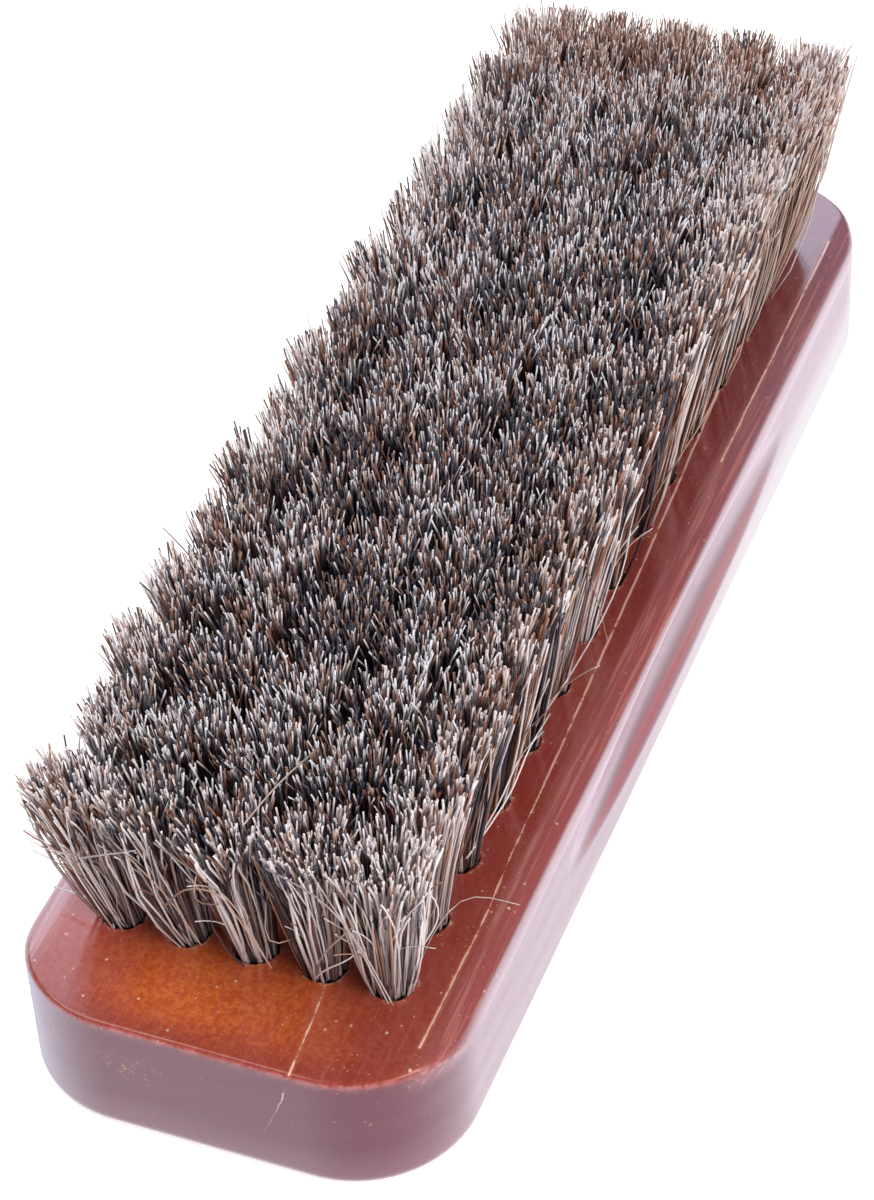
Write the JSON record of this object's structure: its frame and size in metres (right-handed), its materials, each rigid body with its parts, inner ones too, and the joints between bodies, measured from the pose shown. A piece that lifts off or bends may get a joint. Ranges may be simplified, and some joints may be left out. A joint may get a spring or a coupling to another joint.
{
  "type": "shoe shine brush",
  "caption": "Handheld shoe polishing brush: a lacquered wooden block with finger grooves, drilled and filled with tufts of trimmed horsehair.",
  "frame": {"origin": "centre of the wooden back face, which the brush lies on", "axes": "+X along the block, +Y across it, +Z out of the drilled face, the way the hair points"},
  "size_m": [0.17, 0.052, 0.0436],
  "materials": {
    "lacquered_wood": "glossy red-brown lacquer over stained wood",
    "horsehair": "mixed dark, chestnut and pale hair, trimmed flat",
    "anchor_wire": "drawn flat wire"
  },
  "bodies": {
    "root": {"block": "lacquered_wood", "tuft_row_01": "horsehair", "tuft_row_02": "horsehair", "tuft_row_03": "horsehair", "tuft_row_04": "horsehair", "tuft_row_05": "horsehair", "tuft_row_06": "horsehair", "tuft_row_07": "horsehair", "tuft_row_08": "horsehair", "tuft_row_09": "horsehair", "tuft_row_10": "horsehair", "tuft_row_11": "horsehair", "tuft_row_12": "horsehair", "tuft_row_13": "horsehair", "tuft_row_14": "horsehair", "tuft_row_15": "horsehair", "anchor_row_01": "anchor_wire", "anchor_row_02": "anchor_wire", "anchor_row_03": "anchor_wire", "anchor_row_04": "anchor_wire", "anchor_row_05": "anchor_wire", "anchor_row_06": "anchor_wire", "anchor_row_07": "anchor_wire", "anchor_row_08": "anchor_wire", "anchor_row_09": "anchor_wire", "anchor_row_10": "anchor_wire", "anchor_row_11": "anchor_wire", "anchor_row_12": "anchor_wire", "anchor_row_13": "anchor_wire", "anchor_row_14": "anchor_wire", "anchor_row_15": "anchor_wire"}
  },
  "joints": []
}
